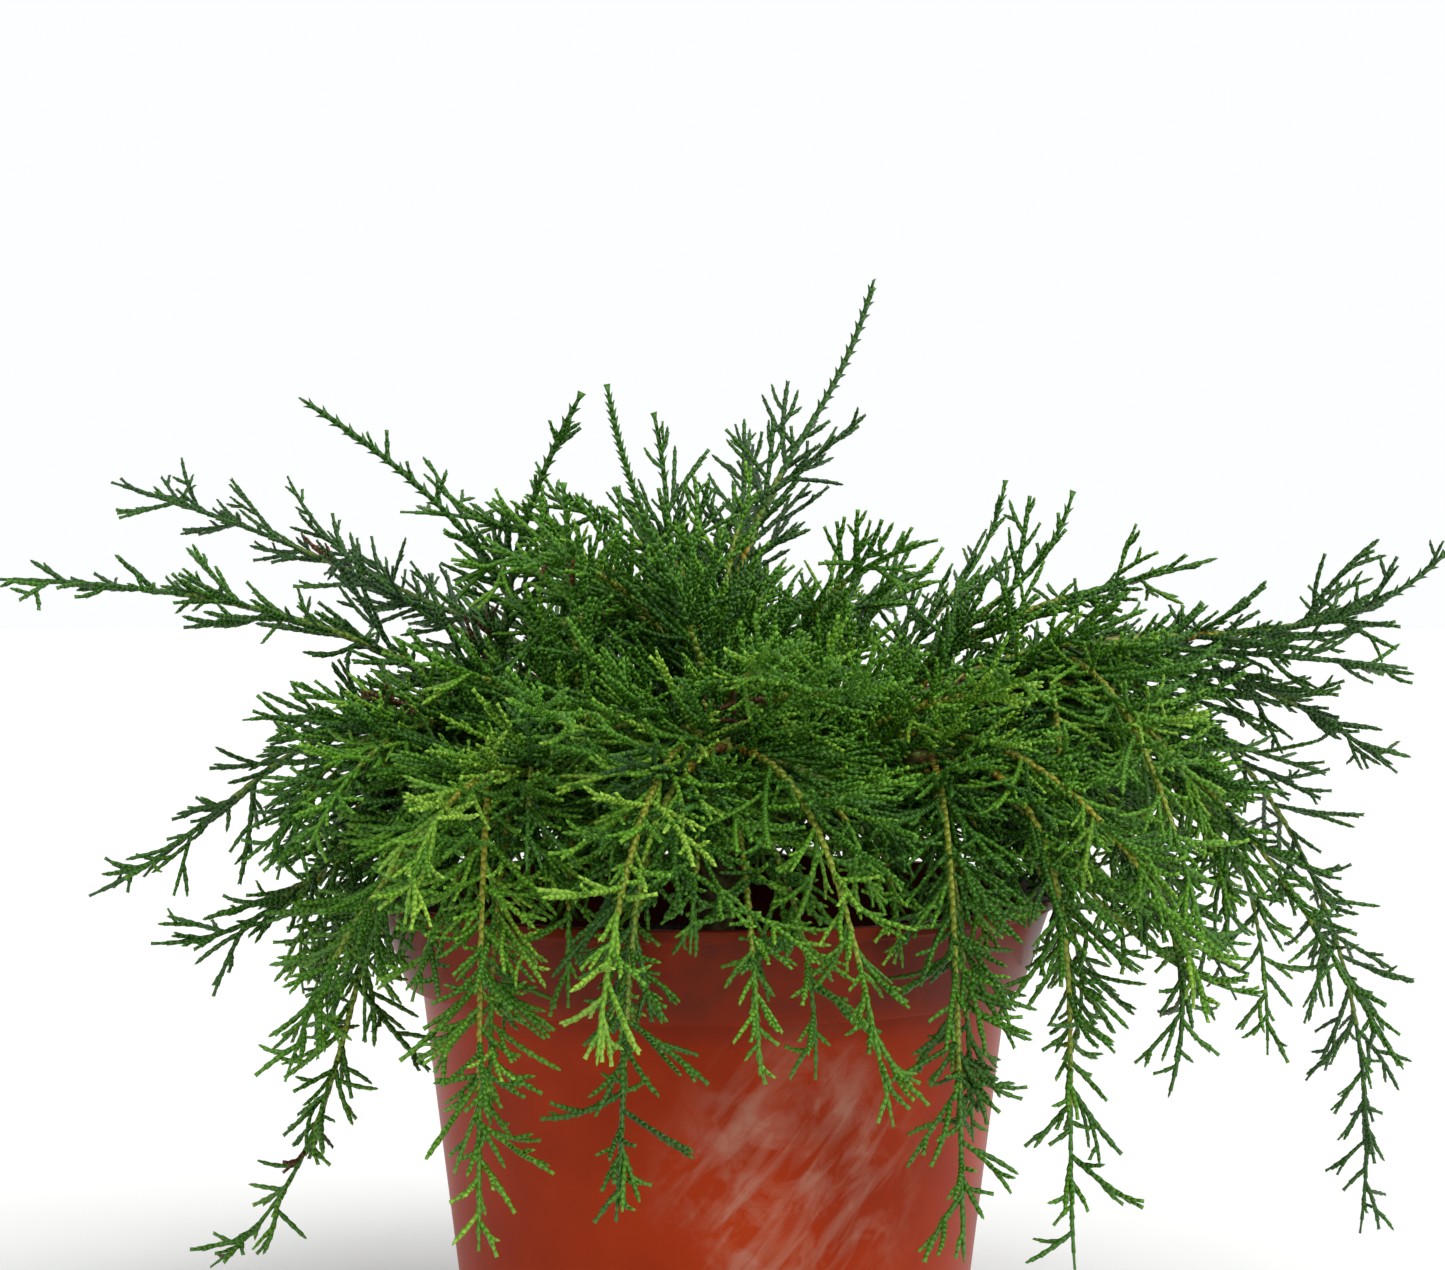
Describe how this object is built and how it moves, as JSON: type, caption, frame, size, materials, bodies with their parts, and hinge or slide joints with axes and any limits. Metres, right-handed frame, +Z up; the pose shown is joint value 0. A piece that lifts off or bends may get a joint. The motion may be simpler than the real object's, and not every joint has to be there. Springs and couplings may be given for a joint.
{
  "type": "potted diselma",
  "caption": "Young whipcord conifer with arching, drooping scale-leaved shoots, growing in a round brick-red plastic nursery pot.",
  "frame": {"origin": "centre of the underside of the pot's base, on the surface it stands on", "axes": "+Z up along the pot's axis, +X to the right of the view from the front, along the foliage's greatest width, -Y to the front"},
  "size_m": [0.3551, 0.2594, 0.2853],
  "materials": {
    "pot_plastic": "matt brick-red moulded plastic with faint water marks",
    "compost": "dark fibrous peat compost",
    "bark": "thin brown flaking bark",
    "foliage": "waxy overlapping green scale leaves on thin woody twigs"
  },
  "bodies": {
    "root": {"pot": "pot_plastic", "root_ball": "compost", "stem": "bark", "limb_right": "bark", "limb_front_right": "bark", "limb_front": "bark", "limb_front_left": "bark", "limb_left": "bark", "limb_back_left": "bark", "limb_back": "bark", "limb_back_right": "bark", "limb_centre": "bark", "shoot_left_reaching": "foliage", "shoot_left_short": "foliage", "shoot_left_sweeping": "foliage", "shoot_left_low": "foliage", "shoot_left_rising": "foliage", "shoot_left_erect": "foliage", "shoot_back_left_reaching": "foliage", "shoot_back_left_erect": "foliage", "shoot_back_left_hanging": "foliage", "shoot_crown_leader": "foliage", "shoot_crown_back": "foliage", "shoot_crown_left": "foliage", "shoot_crown_front": "foliage", "shoot_crown_front_short": "foliage", "shoot_crown_right": "foliage", "shoot_back_right_erect": "foliage", "shoot_back_right_hanging": "foliage", "shoot_back_right_low": "foliage", "shoot_back_arching": "foliage", "shoot_back_hanging": "foliage", "shoot_back_low": "foliage", "shoot_back_right_drooping": "foliage", "shoot_back_left_arching": "foliage", "shoot_right_reaching": "foliage", "shoot_right_level": "foliage", "shoot_right_falling": "foliage", "shoot_right_drooping": "foliage", "shoot_right_erect": "foliage", "shoot_right_rising": "foliage", "shoot_front_right_spreading": "foliage", "shoot_front_right_arching": "foliage", "shoot_front_right_hanging": "foliage", "shoot_front_right_inner": "foliage", "shoot_front_right_rising": "foliage", "shoot_front_hanging_right": "foliage", "shoot_front_hanging": "foliage", "shoot_front_bright": "foliage", "shoot_front_rising_left": "foliage", "shoot_front_rising": "foliage", "shoot_front_rising_right": "foliage", "shoot_front_left_hanging": "foliage", "shoot_front_left_falling": "foliage", "shoot_front_left_bright": "foliage", "shoot_front_left_rising": "foliage", "shoot_front_left_outer": "foliage"}
  },
  "joints": []
}
